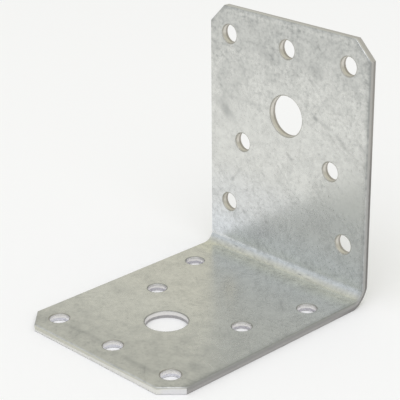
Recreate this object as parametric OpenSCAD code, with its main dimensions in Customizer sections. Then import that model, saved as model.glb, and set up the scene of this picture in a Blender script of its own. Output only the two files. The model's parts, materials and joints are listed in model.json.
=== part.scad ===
// Angle bracket for joining timber: one strip of galvanised steel sheet, punched and trimmed flat,
// then folded once to a right angle. Both legs carry the same pattern of holes about the fold.
// The base leg lies on z = 0, the upright leg stands at the back, and the strip's width is along x.

/* [Strip] */
// Thickness of the sheet
sheet_t = 2; // [1:0.25:4]
// Width of the strip
strip_w = 55; // [52:1:90]
// Radius on the inside of the fold
fold_r = 3; // [1:0.5:6]
// Length of the base leg, from the back of the heel to its free end
base_len = 70; // [68:1:120]
// Height of the upright leg, from under the heel to its free end
upright_len = 71; // [68:1:120]

/* [Edges] */
// Length trimmed off both edges at each free corner
corner_cut = 5; // [1:0.5:6]
// Radius that punching and shearing roll onto the edges of the inner face
edge_r = 0.3; // [0.1:0.05:0.6]

/* [Nail holes] */
// Bore of every nail hole
nail_d = 5; // [3:0.5:6]
// Distance from the free end of the base leg to its row of three
base_end_gap = 6.5; // [5:0.5:12]
// Distance from the free end of the upright leg to its row of three
upright_end_gap = 7.5; // [5:0.5:12]
// Distance between neighbours in a row of three
end_pitch = 20.5; // [15:0.5:22]
// Distance from the heel to the pair between the bolt hole and the fold
mid_row = 34.3; // [26:0.1:44]
// Distance between the two holes of that pair
mid_pitch = 31; // [20:0.5:42]
// Distance from the heel to the pair nearest the fold
heel_row = 15.5; // [14:0.5:24]
// Distance between the two holes of that pair
heel_pitch = 41; // [20:0.5:44]

/* [Bolt hole] */
// Bore of the bolt hole
bolt_d = 11; // [6:0.5:14]
// Distance from the row of three to the bolt hole
bolt_pitch = 18; // [10:0.5:22]

/* [Hidden] */
$fn = 96;
// How far a cut runs past the metal it takes away
past = 1;
// From the outer face at the heel to the line where a leg runs into the fold
fold_reach = sheet_t + fold_r;
// Back of the heel, with the footprint centred on the origin
heel_y = base_len / 2;
// Bright zinc coating
zinc = [0.73, 0.74, 0.71];

// The holes of a leg whose row of three lies at end_row, each as its place across the strip,
// its distance from the heel and its bore
function leg_holes(end_row) = concat(
    [for (side = [-1, 0, 1]) [side * end_pitch, end_row, nail_d]],
    [[0, end_row - bolt_pitch, bolt_d]],
    [for (side = [-1, 1]) [side * mid_pitch / 2, mid_row, nail_d]],
    [for (side = [-1, 1]) [side * heel_pitch / 2, heel_row, nail_d]]
);

// Section of a cut down through the sheet, from the inner face at y = 0. It is open from x = start to
// x = edge, and the metal beyond that has its edge at the inner face rolled over.
module cut_section(start, edge) {
    difference() {
        translate([start, -sheet_t - past])
            square([edge + edge_r - start, sheet_t + 2 * past]);
        translate([edge, -sheet_t - 2 * past])
            square([edge_r + past, sheet_t + 2 * past - edge_r]);
        translate([edge + edge_r, -edge_r])
            circle(edge_r);
    }
}

// Section across the strip, with the inner face at y = 0 and both long edges sheared
module strip_section() {
    difference() {
        translate([-strip_w / 2, -sheet_t])
            square([strip_w, sheet_t]);
        for (side = [0, 1])
            mirror([side, 0])
                cut_section(-strip_w / 2 - past, -strip_w / 2);
    }
}

// Straight shear cut along x, which takes off the metal beyond y = 0
module shear_cut(length, beyond) {
    rotate([90, 0, -90])
        linear_extrude(length, center = true)
            cut_section(-beyond, 0);
}

// Round punched hole along z
module punched_hole(bore) {
    rotate_extrude()
        cut_section(0, bore / 2);
}

// One leg laid flat: it leaves the fold at y = 0 and has its inner face at z = 0
module leg(leg_len, end_gap) {
    straight = leg_len - fold_reach;
    difference() {
        rotate([90, 0, 180])
            linear_extrude(straight)
                strip_section();
        translate([0, straight, 0])
            shear_cut(strip_w + 2 * past, past);
        for (side = [-1, 1])
            translate([side * (strip_w - corner_cut) / 2, straight - corner_cut / 2, 0])
                rotate(-45 * side)
                    shear_cut(2 * corner_cut, corner_cut);
        for (hole = leg_holes(leg_len - end_gap))
            translate([hole[0], hole[1] - fold_reach, 0])
                punched_hole(hole[2]);
    }
}

// The quarter-round fold about the x axis, from under the axis to behind it
module fold() {
    rotate([0, 90, 0])
        rotate_extrude(angle = 90)
            translate([fold_r, 0])
                rotate(90)
                    strip_section();
}

module bracket() {
    color(zinc)
        union() {
            translate([0, heel_y - fold_reach, sheet_t])
                rotate(180)
                    leg(base_len, base_end_gap);
            translate([0, heel_y - fold_reach, fold_reach])
                fold();
            translate([0, heel_y - sheet_t, fold_reach])
                rotate([90, 0, 0])
                    leg(upright_len, upright_end_gap);
        }
}

bracket();
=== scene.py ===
import functools
import json
import logging
import math
from collections.abc import Callable, Sequence
from dataclasses import dataclass, field
from enum import Enum, IntEnum
from typing import Any

import bpy
import numpy as np
from mathutils import Matrix, Vector
from numpy.typing import NDArray


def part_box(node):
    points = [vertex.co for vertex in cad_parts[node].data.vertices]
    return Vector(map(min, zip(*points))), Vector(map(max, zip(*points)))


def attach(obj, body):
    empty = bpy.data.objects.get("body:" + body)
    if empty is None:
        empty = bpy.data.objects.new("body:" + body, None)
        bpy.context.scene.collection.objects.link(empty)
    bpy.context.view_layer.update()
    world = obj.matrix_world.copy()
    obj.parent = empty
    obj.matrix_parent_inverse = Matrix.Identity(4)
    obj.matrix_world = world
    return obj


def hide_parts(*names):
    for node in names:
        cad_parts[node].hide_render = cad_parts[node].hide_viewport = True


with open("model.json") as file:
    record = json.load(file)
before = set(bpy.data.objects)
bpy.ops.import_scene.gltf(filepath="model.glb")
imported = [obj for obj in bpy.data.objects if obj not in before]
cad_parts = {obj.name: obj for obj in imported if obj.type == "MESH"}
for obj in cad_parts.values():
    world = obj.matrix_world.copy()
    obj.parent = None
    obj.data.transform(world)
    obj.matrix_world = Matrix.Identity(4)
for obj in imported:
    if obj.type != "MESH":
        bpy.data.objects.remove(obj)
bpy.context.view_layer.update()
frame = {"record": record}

Array = NDArray[np.float64]
Index = NDArray[np.int64]
Triple = tuple[float, float, float]
Colour = Triple
Stops = Sequence[tuple[float, Colour]]
Block = tuple[int, int, int, int]
Socket = bpy.types.NodeSocket

MM = 0.001
QUARTER_TURN = math.pi / 2
HALF_DIAGONAL = math.sqrt(0.5)
PIECE = "bracket_sheet"
NODE = "bracket"
BODY = "root"
FLAT_ATTRIBUTE = "flat_mm"

log = logging.getLogger(PIECE)


class Leg(Enum):
    """The two legs of the bracket, each with the start of its mounts' names."""

    BASE = "base_"
    UPRIGHT = "upright_"


class Skin(IntEnum):
    """The materials of the sheet, in the order of the mesh's slots."""

    ZINC = 0
    SLIT = 1
    CROPPED = 2
    PUNCHED = 3


@dataclass(frozen=True)
class Strip:
    """Extent of the strip laid flat.

    Attributes:
        half_width: Half its width in millimetres.
        middle: Place in millimetres half-way between its free ends, from the start of the fold.
        half_length: Half its length in millimetres.
        corner_cut: Length trimmed off at each corner in millimetres.
    """

    half_width: float
    middle: float
    half_length: float
    corner_cut: float


def rgba(colour: Colour) -> tuple[float, float, float, float]:
    """Gives an opaque colour for a shader's socket."""
    return (*colour, 1.0)


def lifted(plane: Array, depth: Array | float) -> Array:
    """Adds a depth to points in the plane of the sheet.

    Args:
        plane: Places across and along, on the last axis.
        depth: Depth below the inner face for each point, or for all.

    Returns:
        Places across, along and down, on the last axis.
    """
    return np.concatenate([plane, np.broadcast_to(depth, plane.shape[:-1])[..., None]], axis=-1)


def round_block(block: Block, trim: int = 0) -> tuple[Index, Index]:
    """Walks round a block of grid cells, counter-clockwise as seen from the inner face.

    Args:
        block: The first and last line across, and the first and last line along.
        trim: Number of cells that are trimmed off at each corner.

    Returns:
        The numbers of the lines across and along at each point.
    """
    left, right, low, high = block
    wide, tall, step = np.arange(right - left - 2 * trim), np.arange(high - low - 2 * trim), np.arange(trim)
    sides = (
        (left + trim + wide, np.full_like(wide, low)),
        (right - trim + step, low + step),
        (np.full_like(tall, right), low + trim + tall),
        (right - step, high - trim + step),
        (right - trim - wide, np.full_like(wide, high)),
        (left + trim - step, high - step),
        (np.full_like(tall, left), high - trim - tall),
        (left + step, low + trim - step),
    )
    i, j = zip(*sides)
    return np.concatenate(i), np.concatenate(j)


@dataclass(frozen=True)
class Cloud:
    """A cloudy pattern: noise that is carried smoothly from nothing to its strength between two levels.

    Attributes:
        per_mm: Number of swings in a millimetre.
        detail: Number of finer octaves.
        roughness: How strong the finer octaves are.
        low: Level of the noise below which there is nothing.
        high: Level of the noise above which it has its full strength.
        strength: Its full strength.
    """

    per_mm: float
    detail: float
    roughness: float
    low: float = 0.0
    high: float = 1.0
    strength: float = 1.0


class ShaderNodes:
    """Lays out the nodes of one material or world."""

    def __init__(self, owner: bpy.types.Material | bpy.types.World) -> None:
        """Empties the owner's node tree.

        Args:
            owner: The material or world that gets the nodes.
        """
        owner.use_nodes = True
        self.tree = owner.node_tree
        self.tree.nodes.clear()

    def feed(self, socket: Socket, value: Any) -> None:
        """Links an output to a socket, or sets the socket's value.

        Args:
            socket: The input that is fed.
            value: An output socket, or a constant.
        """
        if isinstance(value, Socket):
            self.tree.links.new(value, socket)
        else:
            socket.default_value = value

    def add(self, kind: str, inputs: dict[Any, Any] | None = None, **settings: Any) -> bpy.types.Node:
        """Adds a node, sets it up and feeds its sockets.

        Args:
            kind: Blender's name of the node type, without its ShaderNode start.
            inputs: A constant or an output socket for each input, by name or number.
            settings: Properties of the node.

        Returns:
            The new node.
        """
        node = self.tree.nodes.new("ShaderNode" + kind)
        for name, value in settings.items():
            setattr(node, name, value)
        for key, value in (inputs or {}).items():
            self.feed(node.inputs[key], value)
        return node

    def math(self, operation: str, *values: Any) -> Socket:
        """Adds one sum, product or other operation and gives its result."""
        return self.add("Math", dict(enumerate(values)), operation=operation).outputs[0]

    def axes(self, vector: Socket) -> tuple[Socket, Socket, Socket]:
        """Splits a vector into its three numbers."""
        return tuple(self.add("SeparateXYZ", {0: vector}).outputs)

    def ramp(self, value: Socket, low: float, high: float, start: float = 0.0, end: float = 1.0) -> Socket:
        """Carries a value smoothly from start at low to end at high.

        Args:
            value: The value that is carried over.
            low: Where the ramp starts.
            high: Where the ramp ends.
            start: The result at low and before.
            end: The result at high and beyond.

        Returns:
            The socket with the result.
        """
        feeds = {"Value": value, "From Min": low, "From Max": high, "To Min": start, "To Max": end}
        return self.add("MapRange", feeds, interpolation_type="SMOOTHSTEP").outputs[0]

    def blend(self, share: Any, first: Any, second: Any) -> Socket:
        """Blends two colours by a share from 0 to 1.

        Args:
            share: How much of the second colour there is.
            first: The colour at 0.
            second: The colour at 1.

        Returns:
            The socket with the blended colour.
        """
        node = self.add("Mix", data_type="RGBA")
        share_in, first_in, second_in = (s for s in node.inputs if s.enabled)
        for socket, value in ((share_in, share), (first_in, first), (second_in, second)):
            self.feed(socket, value)
        return next(s for s in node.outputs if s.enabled)

    def stops(self, along: Socket, stops: Stops) -> Any:
        """Blends colours smoothly from each stop to the next.

        Args:
            along: The place along the strip in millimetres.
            stops: Places and the colours there, in order.

        Returns:
            The socket with the blended colour, or the colour if there is only one.
        """
        colour: Any = rgba(stops[0][1])
        for (low, _), (high, after) in zip(stops, stops[1:]):
            colour = self.blend(self.ramp(along, low, high), colour, rgba(after))
        return colour

    def noise(self, place: Socket, cloud: Cloud) -> Socket:
        """Gives the bare noise of a cloudy pattern.

        Args:
            place: Coordinates in millimetres.
            cloud: The pattern.

        Returns:
            The socket with the noise, about 0.5 on average.
        """
        feeds = {
            "Vector": place,
            "Scale": cloud.per_mm,
            "Detail": cloud.detail,
            "Roughness": cloud.roughness,
        }
        return self.add("TexNoise", feeds).outputs[0]

    def cloud(self, place: Socket, cloud: Cloud) -> Socket:
        """Gives a cloudy pattern, from nothing to its strength."""
        return self.ramp(self.noise(place, cloud), cloud.low, cloud.high, 0.0, cloud.strength)

    def patch(self, place: Socket, middle: Triple, turn: float, size: Triple) -> Socket:
        """Gives coordinates about a turned middle, in which a length of size is 1.

        Args:
            place: Coordinates in millimetres.
            middle: The new zero.
            turn: Degrees that the new axes are turned in the plane of the sheet.
            size: Length of 1 along each new axis.

        Returns:
            The socket with the new coordinates.
        """
        feeds = {0: place, 1: middle, 2: (0.0, 0.0, math.radians(turn)), 3: size}
        return self.add("Mapping", feeds, vector_type="TEXTURE").outputs[0]

    def flat(self) -> Socket:
        """Gives the place on the flat sheet: millimetres across, along and down from the inner face."""
        return self.add("Attribute", attribute_name=FLAT_ATTRIBUTE).outputs["Vector"]

    def metal(self, colour: Socket, rough: Socket, relief: Socket, depth: float) -> None:
        """Ends a material as metal.

        Args:
            colour: Colour of the metal.
            rough: Its roughness.
            relief: Height of its fine relief, from 0 to 1.
            depth: Depth of that relief.
        """
        bump = self.add("Bump", {"Height": relief, "Distance": depth})
        feeds = {"Base Color": colour, "Metallic": 1.0, "Roughness": rough, "Normal": bump.outputs[0]}
        shader = self.add("BsdfPrincipled", feeds)
        self.add("OutputMaterial", {"Surface": shader.outputs[0]})


@dataclass(frozen=True)
class Mark:
    """A soft patch on the inner face, for handling marks and for patches of painted light and shade.

    Attributes:
        across: Its middle across the strip, in millimetres.
        along: Its middle along the strip from the start of the fold, in millimetres.
        length: Half its length in millimetres.
        width: Half its width in millimetres.
        turn: Degrees from across the strip to its length.
        strength: Share of the dark colour that it adds at its middle, below 0 where it is lighter, as where
            it is rubbed bright and in patches of painted light.
    """

    across: float
    along: float
    length: float
    width: float
    turn: float
    strength: float


# Colours of clean zinc at places along the strip, in millimetres from the start of the fold, with painted
# reflection tints: warm on the base, cream then a darker band across the fold, bluish on the lower upright
ZINC_AND_PAINTED_REFLECTION_ALONG = (
    (-40.0, (0.773, 0.776, 0.744)),
    (-24.0, (0.773, 0.769, 0.724)),
    (-6.0, (0.773, 0.769, 0.718)),
    (-1.0, (0.790, 0.790, 0.695)),
    (1.4, (0.800, 0.800, 0.700)),
    (2.6, (0.700, 0.704, 0.645)),
    (4.4, (0.785, 0.803, 0.805)),
    (7.0, (0.800, 0.832, 0.862)),
    (18.0, (0.780, 0.792, 0.785)),
    (30.0, (0.777, 0.781, 0.748)),
)
UPRIGHT_MARKS = (
    Mark(-21.5, 42.9, 6.0, 2.2, -36.0, 0.26),
    Mark(10.2, 48.4, 1.3, 0.8, -20.0, 0.40),
    Mark(13.4, 47.4, 3.2, 0.8, -18.0, 0.22),
    Mark(19.6, 43.8, 4.6, 0.8, -40.0, 0.24),
    Mark(1.5, 35.7, 1.9, 0.7, -38.0, 0.30),
    Mark(-19.2, 23.8, 1.2, 0.8, 50.0, 0.36),
    Mark(-17.4, 26.0, 2.6, 0.6, 52.0, 0.22),
    Mark(-6.6, 14.6, 0.8, 0.6, 0.0, 0.36),
    Mark(-14.5, 15.1, 2.0, 0.9, -35.0, 0.20),
    Mark(-6.4, 61.4, 5.5, 1.8, -14.0, 0.18),
    Mark(8.8, 61.0, 6.5, 1.8, -14.0, 0.15),
    Mark(19.0, 31.4, 3.5, 0.9, -45.0, 0.16),
)
BASE_MARKS = (
    Mark(-11.0, -59.2, 9.0, 1.2, 2.0, 0.20),
    Mark(11.5, -60.6, 9.0, 1.2, 0.0, 0.22),
    Mark(-21.0, -37.5, 5.0, 2.5, 30.0, 0.16),
    Mark(22.0, -52.0, 3.0, 2.2, 30.0, 0.20),
)
# Broad soft patches: the lighter ones on the upright are painted light on its reflection, the darker ones
# darken the base's front middle and the upright's upper left
BROAD_PATCHES_AND_PAINTED_REFLECTION = (
    Mark(13.0, -46.0, 22.0, 16.0, 0.0, 0.11),
    Mark(-20.0, 49.0, 7.0, 9.0, 0.0, 0.14),
    Mark(22.0, 30.0, 9.0, 8.0, 0.0, -0.25),
    Mark(6.0, 27.5, 6.0, 5.0, 0.0, -0.10),
    Mark(9.0, 57.0, 8.0, 5.0, 0.0, -0.07),
)
# A thin lighter band along the upright's top edge: a painted highlight on its rolled rim
TOP_RIM_PAINTED_HIGHLIGHT = Mark(0.0, 70.8, 60.0, 0.55, 0.0, -0.14)
FOLD_SCUFFS = (
    Mark(6.8, 2.7, 0.9, 0.30, 0.0, 0.70),
    Mark(9.8, 2.2, 1.6, 0.24, 0.0, 0.55),
    Mark(9.0, 2.9, 2.0, 0.22, 0.0, -0.30),
    Mark(-17.2, 3.6, 0.8, 0.30, 0.0, 0.45),
    Mark(-18.2, 3.3, 0.6, 0.30, 0.0, -0.40),
)


@dataclass(frozen=True)
class ZincCoating:
    """Galvanised skin: a soft grey sheen with crowds of fine dark specks, faint streaks and marks, and
    painted light and shade.

    Attributes:
        bright: Colours of clean zinc with painted reflection tints, at places along the strip in
            millimetres, in order.
        dark: Colour of specks, streaks and marks, and of the painted shade.
        most_dark: Largest share of the dark colour.
        sheen: Roughness of clean zinc.
        dull: Roughness of dark zinc.
        dull_from: Share of the dark colour from which zinc is as dull as that.
        crowd: Where specks crowd together.
        specks: Fine dark specks.
        speck_floor: Share of the specks' strength where they don't crowd.
        calm: Share of the specks' strength on the base leg, and where the upright leg is rubbed clean.
        calm_along: Place in millimetres along the strip where the upright leg is rubbed clean.
        calm_reach: Distances in millimetres from that place between which the specks come back.
        calm_base: Distance in millimetres from the fold at which the base leg is calmest.
        mottle: Soft mottling.
        streaks: Faint streaks, as noise along and across them.
        streak_turn: Degrees from across the strip to the streaks.
        streak_size: Length and width of the streaks in millimetres.
        ragged: Noise that breaks up the marks' edges.
        ragged_reach: How far that noise moves them, as a share of a mark's size.
        mark_fade: Where marks have faded out and where they are full, in the same share with that noise.
        grain: Noise of the fine relief.
        grain_depth: Depth of the fine relief in metres.
        end_darkening: Share of the dark colour at the legs' free ends.
        end_reach: Length in millimetres over which that fades.
        edge_painted_shade: Share of the dark colour along the right long edge, painted shade.
        rim_side: Places across the strip between which that painted shade comes in.
        rim_reach: Length in millimetres over which it fades.
        rim_line: Further share of the dark colour on that edge's rolled rim, also painted shade.
        rim_roll: Width in millimetres of the rolled rim.
        rim_height: Places along the strip between which that painted shade grows weaker.
        edge_shade_kept: What is left of that painted shade beyond that.
        trim_painted_shade: Share of the dark colour along the trimmed corners, painted shade that darkens
            the highlights on their rims.
        marks: Handling marks, broad patches partly of painted reflection, and a painted highlight along the
            top edge.
    """

    bright: Stops = ZINC_AND_PAINTED_REFLECTION_ALONG
    dark: Colour = (0.300, 0.308, 0.300)
    most_dark: float = 0.85
    sheen: float = 0.23
    dull: float = 0.45
    dull_from: float = 0.8
    crowd: Cloud = Cloud(0.11, 4.0, 0.65, 0.36, 0.68)
    specks: Cloud = Cloud(0.90, 3.0, 0.68, 0.36, 0.80, 0.46)
    speck_floor: float = 0.60
    calm: float = 0.62
    calm_along: float = 32.4
    calm_reach: tuple[float, float] = (4.5, 18.0)
    calm_base: float = 9.0
    mottle: Cloud = Cloud(0.24, 4.0, 0.76, 0.32, 0.74, 0.26)
    streaks: Cloud = Cloud(1.0, 3.0, 0.6, 0.56, 0.78, 0.20)
    streak_turn: float = -42.0
    streak_size: Triple = (14.0, 1.6, 1.6)
    ragged: Cloud = Cloud(0.9, 3.0, 0.7)
    ragged_reach: float = 1.4
    mark_fade: tuple[float, float] = (1.9, 0.7)
    grain: Cloud = Cloud(0.8, 2.0, 0.5)
    grain_depth: float = 0.0015 * MM
    end_darkening: float = 0.26
    end_reach: float = 26.0
    edge_painted_shade: float = 0.34
    rim_side: tuple[float, float] = (0.0, 1.0)
    rim_reach: float = 1.8
    rim_line: float = 0.40
    rim_roll: float = 0.4
    rim_height: tuple[float, float] = (-2.0, 8.0)
    edge_shade_kept: float = 0.72
    trim_painted_shade: float = 0.14
    marks: tuple[Mark, ...] = (*UPRIGHT_MARKS, *BASE_MARKS, *BROAD_PATCHES_AND_PAINTED_REFLECTION, TOP_RIM_PAINTED_HIGHLIGHT, *FOLD_SCUFFS)

    def mark(self, nodes: ShaderNodes, place: Socket, ragged: Socket, mark: Mark) -> Socket:
        """Shades one mark, which fades out at about its half length and half width with a ragged edge.

        Args:
            nodes: The material's nodes.
            place: The place on the sheet laid flat.
            ragged: Noise for its edge.
            mark: The mark.

        Returns:
            The socket with its share of the dark colour.
        """
        near = nodes.patch(place, (mark.across, mark.along, 0.0), mark.turn, (mark.length, mark.width, 1.0))
        away = nodes.add("VectorMath", {0: near}, operation="LENGTH").outputs["Value"]
        away = nodes.math("MULTIPLY_ADD", ragged, self.ragged_reach, away)
        return nodes.ramp(away, *self.mark_fade, 0.0, mark.strength)

    def soil_and_painted_light(self, nodes: ShaderNodes, place: Socket, strip: Strip) -> Socket:
        """Adds up how dark the zinc is at each place, from dirt and wear and from painted shade.

        Args:
            nodes: The material's nodes.
            place: The place on the sheet laid flat.
            strip: Extent of the strip.

        Returns:
            The socket with the share of the dark colour.
        """
        across, along, _ = nodes.axes(place)
        from_rubbed = nodes.math("ABSOLUTE", nodes.math("SUBTRACT", along, self.calm_along))
        rubbed = nodes.ramp(from_rubbed, *self.calm_reach, self.calm, 1.0)
        on_base = nodes.ramp(along, 0.0, -self.calm_base, 1.0, self.calm)
        crowd = nodes.ramp(nodes.cloud(place, self.crowd), 0.0, 1.0, self.speck_floor, 1.0)
        speckled = nodes.math("MULTIPLY", crowd, nodes.math("MINIMUM", rubbed, on_base))
        specks = nodes.math("MULTIPLY", nodes.cloud(place, self.specks), speckled)
        drawn = nodes.patch(place, (0.0, 0.0, 0.0), self.streak_turn, self.streak_size)
        from_side = nodes.math("SUBTRACT", strip.half_width, nodes.math("ABSOLUTE", across))
        from_middle = nodes.math("ABSOLUTE", nodes.math("SUBTRACT", along, strip.middle))
        from_end = nodes.math("SUBTRACT", strip.half_length, from_middle)
        slack = nodes.math("SUBTRACT", nodes.math("ADD", from_side, from_end), strip.corner_cut)
        from_trim = nodes.math("MULTIPLY", slack, HALF_DIAGONAL)
        # Painted shade along the right long edge and on its rolled rim, full on the base, fading across the
        # fold to less on the upright
        rim = nodes.ramp(from_side, self.rim_reach, 0.0, 0.0, self.edge_painted_shade)
        rolled = nodes.ramp(from_side, self.rim_roll, self.rim_roll / 2, 0.0, self.rim_line)
        edge_shade_fade = nodes.ramp(along, *self.rim_height, 1.0, self.edge_shade_kept)
        wear_and_edge_shade = nodes.math("MULTIPLY", edge_shade_fade, nodes.ramp(across, *self.rim_side))
        ragged = nodes.noise(place, self.ragged)
        shares = [
            specks,
            nodes.cloud(place, self.mottle),
            nodes.cloud(drawn, self.streaks),
            # Painted shade on the right long edge
            nodes.math("MULTIPLY", nodes.math("ADD", rim, rolled), wear_and_edge_shade),
            # Painted shade along the trimmed corners
            nodes.ramp(from_trim, self.rim_reach, 0.0, 0.0, self.trim_painted_shade),
            # Darker towards the legs' free ends
            nodes.ramp(from_end, self.end_reach, 0.0, 0.0, self.end_darkening),
        ]
        shares += [self.mark(nodes, place, ragged, mark) for mark in self.marks]
        added = functools.reduce(functools.partial(nodes.math, "ADD"), shares)
        return nodes.math("MINIMUM", added, self.most_dark)

    def material(self, strip: Strip) -> bpy.types.Material:
        """Builds the coating.

        Args:
            strip: Extent of the strip that it covers.

        Returns:
            The material, which reads the sheet's flat place.
        """
        material = bpy.data.materials.new("galvanised_zinc_with_painted_light")
        nodes = ShaderNodes(material)
        place = nodes.flat()
        soil_and_painted_light = self.soil_and_painted_light(nodes, place, strip)
        bright = nodes.stops(nodes.axes(place)[1], self.bright)
        colour = nodes.blend(soil_and_painted_light, bright, rgba(self.dark))
        rough = nodes.ramp(soil_and_painted_light, 0.0, self.dull_from, self.sheen, self.dull)
        nodes.metal(colour, rough, nodes.noise(place, self.grain), self.grain_depth)
        return material


@dataclass(frozen=True)
class EdgeTone:
    """Colours of a cut edge at one place.

    Attributes:
        along: The place along the strip from the start of the fold, in millimetres.
        land: Colour of the burnished land, which zinc is drawn over.
        broken: Colour of the break.
        torn: Colour of tears in the break.
    """

    along: float
    land: Colour
    broken: Colour
    torn: Colour


@dataclass(frozen=True)
class CutSteel:
    """Bare steel of a cut edge: a burnished land under the rolled rim, then a duller break.

    Attributes:
        name: Name of the material.
        tones: Its colours at places along the strip, in order.
        rims: Colours of the rolled rim at places along the strip, or none where zinc covers it.
        smooth: Roughness of the land.
        rough: Roughness of the break.
        wear_and_edge_shade: Roughness of a bare rim.
        rim_depth: Depth in millimetres at which the rim gives way to the land.
        land_depth: Depth in millimetres at which the land gives way to the break.
        land_slope: How much deeper that is for each millimetre across the strip.
        fade: Depth in millimetres over which it does so.
        waver: How far that line wavers in millimetres.
        wave: Noise of that wavering.
        tear: Tears in the break.
        tear_depth: Depth of the tears in metres.
    """

    name: str
    tones: tuple[EdgeTone, ...]
    rims: Stops = ()
    smooth: float = 0.36
    rough: float = 0.55
    wear_and_edge_shade: float = 0.65
    rim_depth: float = 0.24
    land_depth: float = 0.95
    land_slope: float = 0.0
    fade: float = 0.25
    waver: float = 0.35
    wave: Cloud = Cloud(0.8, 3.0, 0.55)
    tear: Cloud = Cloud(3.0, 4.0, 0.65, 0.50, 0.75, 0.40)
    tear_depth: float = 0.02 * MM

    def material(self) -> bpy.types.Material:
        """Builds the cut edge.

        Returns:
            The material, which reads the sheet's flat place.
        """
        material = bpy.data.materials.new(self.name)
        nodes = ShaderNodes(material)
        place = nodes.flat()
        across, along, depth = nodes.axes(place)
        below = nodes.math("MULTIPLY_ADD", across, -self.land_slope, depth)
        below = nodes.math("MULTIPLY_ADD", nodes.noise(place, self.wave), self.waver, below)
        edge = self.land_depth + self.waver / 2
        share = nodes.ramp(below, edge - self.fade / 2, edge + self.fade / 2)
        rough = nodes.ramp(share, 0.0, 1.0, self.smooth, self.rough)
        upper = nodes.stops(along, [(tone.along, tone.land) for tone in self.tones])
        if self.rims:
            rim = nodes.ramp(depth, self.rim_depth / 2, self.rim_depth, 1.0, 0.0)
            upper = nodes.blend(rim, upper, nodes.stops(along, self.rims))
            rough = nodes.math("MAXIMUM", rough, nodes.math("MULTIPLY", rim, self.wear_and_edge_shade))
        broken = nodes.stops(along, [(tone.along, tone.broken) for tone in self.tones])
        torn = nodes.stops(along, [(tone.along, tone.torn) for tone in self.tones])
        tears = nodes.math("MULTIPLY", nodes.cloud(place, self.tear), share)
        colour = nodes.blend(tears, nodes.blend(share, upper, broken), torn)
        nodes.metal(colour, rough, nodes.noise(place, self.tear), self.tear_depth)
        return material


# Cut steel and painted shade: the slit edges are toned much darker than the cropped ends, the break darkest
# along the lower upright and lighter towards its top
SLIT_STEEL_WITH_PAINTED_SHADE = CutSteel(
    "slit_steel_with_painted_shade",
    (
        EdgeTone(-12.0, (0.335, 0.33, 0.32), (0.45, 0.44, 0.43), (0.33, 0.32, 0.315)),
        EdgeTone(8.0, (0.43, 0.425, 0.415), (0.24, 0.232, 0.226), (0.18, 0.174, 0.172)),
        EdgeTone(34.0, (0.43, 0.425, 0.415), (0.25, 0.242, 0.236), (0.19, 0.184, 0.182)),
        EdgeTone(48.0, (0.45, 0.44, 0.42), (0.365, 0.35, 0.33), (0.27, 0.26, 0.25)),
    ),
    land_depth=1.1,
)
CROPPED_STEEL = CutSteel(
    "cropped_steel",
    (
        EdgeTone(-64.8, (0.60, 0.596, 0.52), (0.80, 0.792, 0.755), (0.62, 0.61, 0.59)),
        EdgeTone(-63.6, (0.71, 0.70, 0.645), (0.79, 0.785, 0.79), (0.64, 0.635, 0.635)),
        EdgeTone(20.0, (0.68, 0.675, 0.655), (0.56, 0.548, 0.525), (0.43, 0.42, 0.40)),
    ),
    land_depth=1.02,
    land_slope=-0.019,
)
PUNCHED_STEEL = CutSteel(
    "punched_steel",
    (
        EdgeTone(-54.0, (0.85, 0.835, 0.81), (0.75, 0.75, 0.79), (0.62, 0.62, 0.65)),
        EdgeTone(-47.0, (0.81, 0.795, 0.775), (0.46, 0.45, 0.455), (0.35, 0.34, 0.345)),
        EdgeTone(-35.0, (0.81, 0.795, 0.775), (0.46, 0.45, 0.455), (0.35, 0.34, 0.345)),
        EdgeTone(-32.0, (0.86, 0.845, 0.82), (0.58, 0.57, 0.60), (0.44, 0.43, 0.45)),
        EdgeTone(-8.0, (0.86, 0.845, 0.82), (0.58, 0.57, 0.60), (0.44, 0.43, 0.45)),
        EdgeTone(8.0, (0.69, 0.665, 0.61), (0.47, 0.44, 0.40), (0.36, 0.34, 0.31)),
    ),
    rims=(
        (-54.0, (0.40, 0.39, 0.35)),
        (-47.0, (0.40, 0.40, 0.37)),
        (-8.0, (0.40, 0.40, 0.37)),
        (8.0, (0.52, 0.51, 0.46)),
    ),
    land_depth=1.2,
)


@dataclass(frozen=True)
class Hole:
    """A punched hole in the strip laid flat.

    Attributes:
        across: Its place across the strip.
        along: Its place along the strip from the start of the fold.
        radius: Its bore's radius.
    """

    across: float
    along: float
    radius: float


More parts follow.
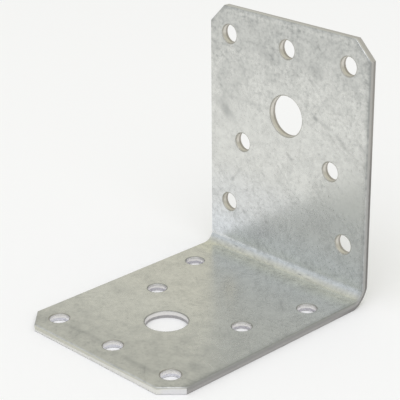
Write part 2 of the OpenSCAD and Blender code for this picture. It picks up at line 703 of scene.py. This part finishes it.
@dataclass(frozen=True)
class ShearedEdge:
    """Section of a sheared or punched edge.

    Attributes:
        thickness: Thickness of the sheet.
        roll: Radius rolled onto the inner face.
        land: Share of the thickness down to which the cut is burnished.
        lean: How far the break leans back from the land.
        burr: Radius left at the outer face.
        margin: Flat strip of face that belongs to the section at both ends.
        roll_steps: Number of rows on the rolled radius.
        burr_steps: Number of rows on the radius at the outer face.
    """

    thickness: float
    roll: float = 0.3 * MM
    land: float = 0.45
    lean: float = 0.04 * MM
    burr: float = 0.08 * MM
    margin: float = 0.15 * MM
    roll_steps: int = 5
    burr_steps: int = 3

    def rows(self) -> Array:
        """Works out the section.

        A quarter circle leads from the inner face into the cut, a straight land follows, the break leans
        back, and a small quarter circle ends on the outer face.

        Returns:
            One row for each point: how far it is set back from the cut, and its depth below the inner face.
        """
        turn = np.linspace(0.0, QUARTER_TURN, self.roll_steps + 1)
        rolled = np.stack([self.roll * (1 - np.sin(turn)), self.roll * (1 - np.cos(turn))], axis=1)
        land_end = self.land * self.thickness
        broken = [[0.0, land_end], [self.lean / 2, land_end + self.margin]]
        turn = np.linspace(0.0, QUARTER_TURN, self.burr_steps + 1)
        set_back = self.lean + self.burr * (1 - np.cos(turn))
        burred = np.stack([set_back, self.thickness - self.burr * (1 - np.sin(turn))], axis=1)
        first = [[self.roll + self.margin, 0.0]]
        last = [[self.lean + self.burr + self.margin, self.thickness]]
        return np.concatenate([first, rolled, broken, burred, last])

    def cut(self, with_rim: bool) -> NDArray[np.bool_]:
        """Tells which strips between two rows are cut steel.

        Args:
            with_rim: Whether the rolled rim is cut steel too.

        Returns:
            True for each strip from the rolled rim, or below it, to the outer face's radius.
        """
        depth = self.rows()[:, 1]
        start = 0.0 if with_rim else self.roll + self.burr / 2
        return (depth[1:] > start) & (depth[1:] < self.thickness - self.burr / 2)


class FaceList:
    """Collects the points and faces of one mesh as whole arrays."""

    def __init__(self) -> None:
        """Starts with nothing."""
        self.points: list[Array] = []
        self.quads: list[Index] = []
        self.quad_skins: list[Index] = []
        self.triangles: list[Index] = []
        self.count = 0

    def add_points(self, points: Array) -> Index:
        """Adds points.

        Args:
            points: Their flat places, with the three numbers on the last axis.

        Returns:
            Their numbers, in the same layout without the last axis.
        """
        shape = points.shape[:-1]
        numbers = self.count + np.arange(math.prod(shape)).reshape(shape)
        self.points.append(points.reshape(-1, 3))
        self.count += numbers.size
        return numbers

    def add_quads(self, quads: Index, skins: Index | int = int(Skin.ZINC)) -> None:
        """Adds faces with four corners.

        Args:
            quads: One row of point numbers for each face.
            skins: The material's slot for each face, or for all.
        """
        self.quads.append(quads)
        self.quad_skins.append(np.broadcast_to(skins, len(quads)))

    def add_strips(self, rows: Index, skins: Index, order: int = 1) -> None:
        """Joins each closed row of points to the next with quads.

        Args:
            rows: Point numbers, one closed loop in each row.
            skins: The material's slot for each quad, by strip and by place in the loop.
            order: 1 for loops that run counter-clockwise round the open side, and -1 for clockwise.
        """
        after = np.roll(rows, -1, axis=1)
        quads = np.stack([rows[:-1], after[:-1], after[1:], rows[1:]], axis=-1)
        self.add_quads(quads.reshape(-1, 4)[:, ::order], skins.ravel())

    def mesh(self, name: str, fold: Callable[[Array], Array]) -> bpy.types.Mesh:
        """Makes the mesh from the points that faces use.

        Args:
            name: Name of the mesh.
            fold: Carries flat places into space.

        Returns:
            The mesh, with its flat place in millimetres as an attribute.
        """
        quads, triangles = np.concatenate(self.quads), np.concatenate(self.triangles)
        flat = np.concatenate(self.points)
        used = np.zeros(len(flat), bool)
        used[quads] = used[triangles] = True
        number = np.cumsum(used) - 1
        flat = flat[used]
        mesh = bpy.data.meshes.new(name)
        mesh.from_pydata(fold(flat), [], number[quads].tolist() + number[triangles].tolist())
        skins = np.concatenate(self.quad_skins + [np.full(len(triangles), int(Skin.ZINC))])
        mesh.polygons.foreach_set("material_index", skins.astype(np.int32))
        place = mesh.attributes.new(FLAT_ATTRIBUTE, "FLOAT_VECTOR", "POINT")
        place.data.foreach_set("vector", (flat / MM).astype(np.float32).ravel())
        return mesh


@dataclass
class AngleBracket:
    """The bracket: one strip of sheet, punched and trimmed flat and then folded once.

    Attributes:
        thickness: Thickness of the sheet.
        fold_radius: Radius on the inside of the fold.
        corner_cut: Length trimmed off both edges at each free corner.
        cell: Size of the grid's cells on the flat faces.
        fold_steps: Number of cells round the fold.
        hole_room: Room left between a bore and the window for it in the grid.
        neutral: Share of the thickness at which the fold keeps its length.
        drawn_in: How far folding draws the long edges in at the outer face.
        drawn_reach: Length across the strip over which that fades.
        sharp: Angle in radians from which an edge is shaded as a sharp corner.
        zinc: Finish of the faces, with painted light and shade.
        slit: Finish of the strip's long edges, with painted shade.
        cropped: Finish of the free ends and trimmed corners.
        punched: Finish of the holes' walls.
        width: Width of the strip.
        reach: From the outer face at the heel to the line where a leg runs into the fold.
        fold_y: Place of that line on the base leg.
        base_run: Length of the base leg beyond the fold.
        upright_run: Length of the upright leg beyond the fold.
        fold_run: Length of the fold laid flat.
        edge: Section of every cut edge.
    """

    thickness: float = 2.0 * MM
    fold_radius: float = 3.0 * MM
    corner_cut: float = 5.0 * MM
    cell: float = 1.0 * MM
    fold_steps: int = 16
    hole_room: float = 0.95 * MM
    neutral: float = 0.42
    drawn_in: float = 0.35 * MM
    drawn_reach: float = 2.0 * MM
    sharp: float = math.radians(40.0)
    zinc: ZincCoating = ZincCoating()
    slit: CutSteel = SLIT_STEEL_WITH_PAINTED_SHADE
    cropped: CutSteel = CROPPED_STEEL
    punched: CutSteel = PUNCHED_STEEL
    width: float = field(init=False)
    reach: float = field(init=False)
    fold_y: float = field(init=False)
    base_run: float = field(init=False)
    upright_run: float = field(init=False)
    fold_run: float = field(init=False)
    edge: ShearedEdge = field(init=False)

    def __post_init__(self) -> None:
        """Takes the legs and the width from the CAD node's box."""
        low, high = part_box(NODE)
        self.width = high.x - low.x
        self.reach = self.thickness + self.fold_radius
        self.fold_y = high.y - self.reach
        self.base_run = self.fold_y - low.y
        self.upright_run = high.z - self.reach
        self.fold_run = QUARTER_TURN * (self.fold_radius + self.neutral * self.thickness)
        self.edge = ShearedEdge(self.thickness)

    def holes(self) -> list[Hole]:
        """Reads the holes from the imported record's mounts.

        Returns:
            Every punched hole: a bore is one hole, and a pattern is a pair or the corners of a rectangle.
        """
        found: list[Hole] = []
        for mount in frame["record"]["mounts"]:
            if mount["kind"] not in ("bore", "bolt_pattern"):
                continue
            sizes = mount["dims"]
            across, y, z = mount["pos_m"]
            leg = next(leg for leg in Leg if mount["name"].startswith(leg.value))
            along = y - self.fold_y if leg is Leg.BASE else self.fold_run + z - self.reach
            half_x = sizes.get("spacing_x_mm", 0.0) * MM / 2
            half_s = sizes.get("spacing_y_mm", 0.0) * MM / 2
            radius = sizes.get("r_mm", sizes.get("hole_r_mm")) * MM
            places = {(across + i * half_x, along + j * half_s) for i in (-1, 1) for j in (-1, 1)}
            found += [Hole(x, s, radius) for x, s in sorted(places)]
        return found

    def folded(self, flat: Array) -> Array:
        """Folds flat places into space.

        On the fold a point lies on a circle about the fold's axis, whose radius grows with its depth.
        Before the fold it runs straight along the base leg, and beyond it straight up the upright leg.
        Near the long edges the stretched outside of the fold is drawn in: most half-way round, in
        proportion to the depth, and less with the distance from the edge, by the exponential function.

        Args:
            flat: Places across, along and down from the inner face, one in each row.

        Returns:
            The same points in the frame's coordinates.
        """
        across, along, depth = flat.T
        turn = np.clip(along / self.fold_run, 0.0, 1.0) * QUARTER_TURN
        radius = self.fold_radius + depth
        from_edge = self.width / 2 - np.abs(across)
        fading = np.exp(-from_edge / self.drawn_reach)
        drawn = self.drawn_in * np.sin(2 * turn) * depth / self.thickness * fading
        y = self.fold_y + radius * np.sin(turn) + np.minimum(along, 0.0)
        z = self.reach - radius * np.cos(turn) + np.maximum(along - self.fold_run, 0.0)
        return np.stack([across - np.sign(across) * drawn, y, z], axis=1)

    def grid(self) -> Array:
        """Lays out the grid: even cells on both legs and even steps round the fold.

        Returns:
            Its points in the plane of the sheet, by lines across and lines along.
        """
        across = np.linspace(-self.width / 2, self.width / 2, round(self.width / self.cell) + 1)
        base = np.linspace(-self.base_run, 0.0, round(self.base_run / self.cell) + 1)
        fold = np.linspace(0.0, self.fold_run, self.fold_steps + 1)
        rise = np.linspace(0.0, self.upright_run, round(self.upright_run / self.cell) + 1)
        along = np.concatenate([base, fold[1:], self.fold_run + rise[1:]])
        return np.stack(np.meshgrid(across, along, indexing="ij"), axis=-1)

    def outline(self, plane: Array) -> tuple[Index, Index, Array]:
        """Walks round the trimmed outline, counter-clockwise as seen from the inner face.

        Args:
            plane: The grid's points in the plane of the sheet.

        Returns:
            The numbers of the lines across and along at each point, and the step outwards there that keeps
            both of its edges parallel, which at a corner is the mitre.
        """
        wide, tall, _ = plane.shape
        i, j = round_block((0, wide - 1, 0, tall - 1), round(self.corner_cut / self.cell))
        place = plane[i, j]
        ahead = np.roll(place, -1, axis=0) - place
        ahead /= np.linalg.norm(ahead, axis=1, keepdims=True)
        normal = np.stack([ahead[:, 1], -ahead[:, 0]], axis=1)
        before = np.roll(normal, 1, axis=0)
        mitre = (normal + before) / (1 + np.sum(normal * before, axis=1, keepdims=True))
        return i, j, mitre

    def windows(self, plane: Array) -> list[tuple[Hole, Block]]:
        """Finds the block of grid cells that each hole's ring stands in.

        Args:
            plane: The grid's points in the plane of the sheet.

        Returns:
            Each hole with the first and last line across, and the first and last line along.
        """
        across, along = plane[:, 0, 0], plane[0, :, 1]
        found = []
        for hole in self.holes():
            room = hole.radius + self.hole_room
            left = int(np.searchsorted(across, hole.across - room) - 1)
            right = int(np.searchsorted(across, hole.across + room))
            low = int(np.searchsorted(along, hole.along - room) - 1)
            high = int(np.searchsorted(along, hole.along + room))
            found.append((hole, (left, right, low, high)))
        return found

    def face_cells(self, numbers: Index, blocks: list[Block]) -> tuple[Index, Index]:
        """Picks the grid cells of one face that are metal.

        A cell stays if it lies in no hole's window and inside the trimmed corners. Of a cell that a
        corner's trim line crosses, the triangle on the inside stays.

        Args:
            numbers: Point numbers of the face's grid.
            blocks: The holes' windows.

        Returns:
            The quads and the triangles, counter-clockwise in the grid.
        """
        quads = np.stack([numbers[:-1, :-1], numbers[1:, :-1], numbers[1:, 1:], numbers[:-1, 1:]], axis=-1)
        i, j = np.indices(quads.shape[:2])
        from_right, from_top = quads.shape[0] - 1 - i, quads.shape[1] - 1 - j
        last = round(self.corner_cut / self.cell) - 1
        steps_in = np.minimum(i, from_right) + np.minimum(j, from_top)
        whole = steps_in > last
        for left, right, low, high in blocks:
            whole[left:right, low:high] = False
        crossed = steps_in == last
        upper = (j > from_top)[crossed]
        outer = np.where((i > from_right)[crossed], 1 + upper, 3 * upper)
        kept = (outer[:, None] + np.array([1, 2, 3])) % 4
        return quads[whole], np.take_along_axis(quads[crossed], kept, axis=1)

    def hole_rings(self, hole: Hole, window: Array) -> tuple[Array, Array]:
        """Works out the rings of points from the window round a hole, through it, to the window behind.

        Each ring is a circle with twice the window's number of points, at the edge section's set-back
        from the bore and at its depth. A first and a last ring lie half-way between that and the window.

        Args:
            hole: The hole.
            window: The window's points in the plane of the sheet, counter-clockwise.

        Returns:
            The rings in the plane of the sheet, and the depth of each.
        """
        set_back, depth = self.edge.rows().T
        centre = np.array([hole.across, hole.along])
        finer = np.stack([window, (window + np.roll(window, -1, axis=0)) / 2], axis=1).reshape(-1, 2)
        start = np.arctan2(*(window[0] - centre)[::-1])
        turn = start + np.linspace(0.0, 2 * math.pi, len(finer), endpoint=False)
        spoke = np.stack([np.cos(turn), np.sin(turn)], axis=1)
        circles = centre + (hole.radius + set_back)[:, None, None] * spoke
        front, back = (circles[0] + finer) / 2, (circles[-1] + finer) / 2
        return np.concatenate([front[None], circles, back[None]]), np.pad(depth, 1, "edge")

    def add_sheet(self, parts: FaceList, plane: Array, blocks: list[Block]) -> list[Index]:
        """Adds the inner and the outer face, each as a grid, and the cut edge round them.

        Args:
            parts: The mesh's points and faces.
            plane: The grid's points in the plane of the sheet.
            blocks: The holes' windows.

        Returns:
            Point numbers of both grids.
        """
        section = self.edge.rows()
        i, j, mitre = self.outline(plane)
        rim = plane[i, j] - section[:, :1, None] * mitre
        grids = []
        for end, order in ((0, 1), (-1, -1)):
            spread = plane.copy()
            spread[i, j] = rim[end]
            grid = parts.add_points(lifted(spread, section[end, 1]))
            quads, triangles = self.face_cells(grid, blocks)
            parts.add_quads(quads[:, ::order])
            parts.triangles.append(triangles[:, ::order])
            grids.append(grid)
        middle = parts.add_points(lifted(rim[1:-1], section[1:-1, 1:]))
        first, last = (grid[i, j] for grid in grids)
        edge_skin = np.where(i == np.roll(i, -1), int(Skin.SLIT), int(Skin.CROPPED))
        skins = np.where(self.edge.cut(with_rim=False)[:, None], edge_skin, int(Skin.ZINC))
        parts.add_strips(np.concatenate([first[None], middle, last[None]]), skins, -1)
        return grids

    def add_hole(self, parts: FaceList, plane: Array, hole: Hole, block: Block, grids: list[Index]) -> None:
        """Adds a hole's rings, and the fans of triangles that join them to the window in both faces.

        Args:
            parts: The mesh's points and faces.
            plane: The grid's points in the plane of the sheet.
            hole: The hole.
            block: Its window.
            grids: Point numbers of the faces' grids.
        """
        i, j = round_block(block)
        rings, depth = self.hole_rings(hole, plane[i, j])
        rows = parts.add_points(lifted(rings, depth[:, None]))
        through = np.pad(self.edge.cut(with_rim=True), 1)
        skins = np.where(through, int(Skin.PUNCHED), int(Skin.ZINC))
        parts.add_strips(rows, np.repeat(skins, rows.shape[1]))
        for grid, ring, order in zip(grids, (rows[0], rows[-1]), (1, -1)):
            here, ahead = grid[i, j], np.roll(grid[i, j], -1)
            near, between, far = ring[::2], ring[1::2], np.roll(ring, -2)[::2]
            fans = ((here, between, near), (here, ahead, between), (ahead, far, between))
            parts.triangles += [np.stack(fan, axis=1)[:, ::order] for fan in fans]

    def build_mesh(self) -> bpy.types.Mesh:
        """Builds the sheet: two gridded faces, the cut edge round them, and rings of points in each hole.

        Returns:
            The closed mesh, in the frame's coordinates, smooth apart from its sharp corners.
        """
        plane = self.grid()
        holes = self.windows(plane)
        parts = FaceList()
        grids = self.add_sheet(parts, plane, [block for _, block in holes])
        for hole, block in holes:
            self.add_hole(parts, plane, hole, block, grids)
        mesh = parts.mesh(PIECE, self.folded)
        mesh.shade_smooth()
        mesh.set_sharp_from_angle(angle=self.sharp)
        return mesh

    def build(self) -> bpy.types.Object:
        """Builds and dresses the bracket, which stands for the CAD node.

        Returns:
            The finished piece.
        """
        piece = bpy.data.objects.new(PIECE, self.build_mesh())
        bpy.context.scene.collection.objects.link(piece)
        top = self.fold_run + self.upright_run
        sizes = (self.width / 2, (top - self.base_run) / 2, (top + self.base_run) / 2, self.corner_cut)
        strip = Strip(*(size / MM for size in sizes))
        finishes = {
            Skin.ZINC: self.zinc.material(strip),
            Skin.SLIT: self.slit.material(),
            Skin.CROPPED: self.cropped.material(),
            Skin.PUNCHED: self.punched.material(),
        }
        for skin in Skin:
            piece.data.materials.append(finishes[skin])
        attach(piece, BODY)
        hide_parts(NODE)
        return piece


@dataclass(frozen=True)
class PhotoCamera:
    """The camera that took the photograph, as fitted to the bracket's outline.

    Attributes:
        azimuth: Degrees round the bracket from its front.
        elevation: Degrees above the horizon.
        roll: Degrees that the camera leans.
        distance: Distance from the target.
        side: Step of the camera to its right.
        rise: Step of the camera upwards.
        target: Point that it turns round.
        focal: Focal length in pixels of a square picture.
        pixels: Width of that picture.
        sensor: Width of the sensor in millimetres.
    """

    azimuth: float = 45.728
    elevation: float = 22.762
    roll: float = -0.516
    distance: float = 377.652 * MM
    side: float = -9.585 * MM
    rise: float = 2.192 * MM
    target: Triple = (0.0, 15.0 * MM, 25.0 * MM)
    focal: float = 1468.792
    pixels: int = 400
    sensor: float = 36.0

    def build(self) -> bpy.types.Object:
        """Places the camera.

        Returns:
            The scene's camera.
        """
        turn, lift, lean = (math.radians(a) for a in (self.azimuth, self.elevation, self.roll))
        back = Vector((math.sin(turn) * math.cos(lift), -math.cos(turn) * math.cos(lift), math.sin(lift)))
        level = Vector((math.cos(turn), math.sin(turn), 0.0))
        upright = back.cross(level)
        right = math.cos(lean) * level + math.sin(lean) * upright
        up = math.cos(lean) * upright - math.sin(lean) * level
        data = bpy.data.cameras.new("photo_camera")
        data.sensor_width = self.sensor
        data.lens = self.focal / self.pixels * self.sensor
        camera = bpy.data.objects.new("photo_camera", data)
        bpy.context.scene.collection.objects.link(camera)
        place = Vector(self.target) + self.distance * back + self.side * right + self.rise * up
        camera.matrix_world = Matrix.Translation(place) @ Matrix((right, up, back)).transposed().to_4x4()
        bpy.context.scene.camera = camera
        return camera


@dataclass(frozen=True)
class Studio:
    """Pale floor, a large soft lamp at the front right and a pale surrounding.

    Attributes:
        floor_colour: Colour of the floor.
        floor_size: Length of the floor's sides.
        floor_drop: How far the floor lies under the bracket, so that the two don't coincide.
        lamp_place: Where the lamp hangs.
        lamp_size: Length of the lamp's sides.
        lamp_power: The lamp's power in watts.
        lamp_colour: The lamp's colour.
        back_low: Surroundings behind the bracket, at the horizon.
        back_high: Surroundings behind the bracket, overhead.
        front_low: Surroundings before the bracket, at the horizon.
        front_high: Surroundings before the bracket, overhead.
        rise: Upward parts of a direction between which the surroundings go from low to high.
        turn: Backward parts of a direction between which they go from behind to before.
    """

    floor_colour: Colour = (0.93, 0.93, 0.93)
    floor_size: float = 8.0
    floor_drop: float = 0.05 * MM
    lamp_place: Triple = (1.3, -1.05, 2.4)
    lamp_size: float = 3.4
    lamp_power: float = 40.0
    lamp_colour: Colour = (0.93, 0.92, 1.0)
    back_low: Colour = (0.64, 0.635, 0.585)
    back_high: Colour = (0.75, 0.745, 0.665)
    front_low: Colour = (0.68, 0.715, 0.74)
    front_high: Colour = (0.82, 0.83, 0.83)
    rise: tuple[float, float] = (0.1, 0.7)
    turn: tuple[float, float] = (0.6, -0.6)

    def build_floor(self) -> bpy.types.Object:
        """Lays the floor.

        Returns:
            The floor.
        """
        half = self.floor_size / 2
        mesh = bpy.data.meshes.new("floor")
        corners = [(-half, -half), (half, -half), (half, half), (-half, half)]
        mesh.from_pydata([(x, y, -self.floor_drop) for x, y in corners], [], [(0, 1, 2, 3)])
        floor = bpy.data.objects.new("floor", mesh)
        bpy.context.scene.collection.objects.link(floor)
        material = bpy.data.materials.new("pale_floor")
        nodes = ShaderNodes(material)
        shader = nodes.add("BsdfDiffuse", {"Color": rgba(self.floor_colour)})
        nodes.add("OutputMaterial", {"Surface": shader.outputs[0]})
        mesh.materials.append(material)
        return floor

    def build_lamp(self) -> bpy.types.Object:
        """Hangs the lamp so that it faces the bracket.

        Returns:
            The lamp.
        """
        data = bpy.data.lights.new("soft_lamp", "AREA")
        data.size = self.lamp_size
        data.energy = self.lamp_power
        data.color = self.lamp_colour
        lamp = bpy.data.objects.new("soft_lamp", data)
        bpy.context.scene.collection.objects.link(lamp)
        lamp.location = self.lamp_place
        lamp.rotation_euler = Vector(self.lamp_place).to_track_quat("Z", "Y").to_euler()
        return lamp

    def build_surroundings(self) -> bpy.types.World:
        """Makes the pale surroundings, which shade from warm behind the bracket to cool in front.

        Returns:
            The scene's world.
        """
        world = bpy.data.worlds.new("surroundings")
        nodes = ShaderNodes(world)
        direction = nodes.add("TexCoord").outputs["Generated"]
        _, back, up = nodes.axes(direction)
        height = nodes.ramp(up, *self.rise)
        ahead = nodes.ramp(back, *self.turn)
        behind = nodes.blend(height, rgba(self.back_low), rgba(self.back_high))
        before = nodes.blend(height, rgba(self.front_low), rgba(self.front_high))
        glow = nodes.add("Background", {"Color": nodes.blend(ahead, behind, before), "Strength": 1.0})
        nodes.add("OutputWorld", {"Surface": glow.outputs[0]})
        bpy.context.scene.world = world
        return world

    def build(self) -> None:
        """Builds the floor, the lamp and the surroundings."""
        self.build_floor()
        self.build_lamp()
        self.build_surroundings()


def main() -> None:
    """Builds the bracket, the studio and the camera."""
    logging.basicConfig(level=logging.INFO, format="%(name)s: %(message)s")
    bpy.context.scene.view_settings.view_transform = "Standard"
    piece = AngleBracket().build()
    log.info("%s has %d faces", piece.name, len(piece.data.polygons))
    Studio().build()
    log.info("studio is lit")
    PhotoCamera().build()
    log.info("camera is placed")


if __name__ == "__main__":
    main()
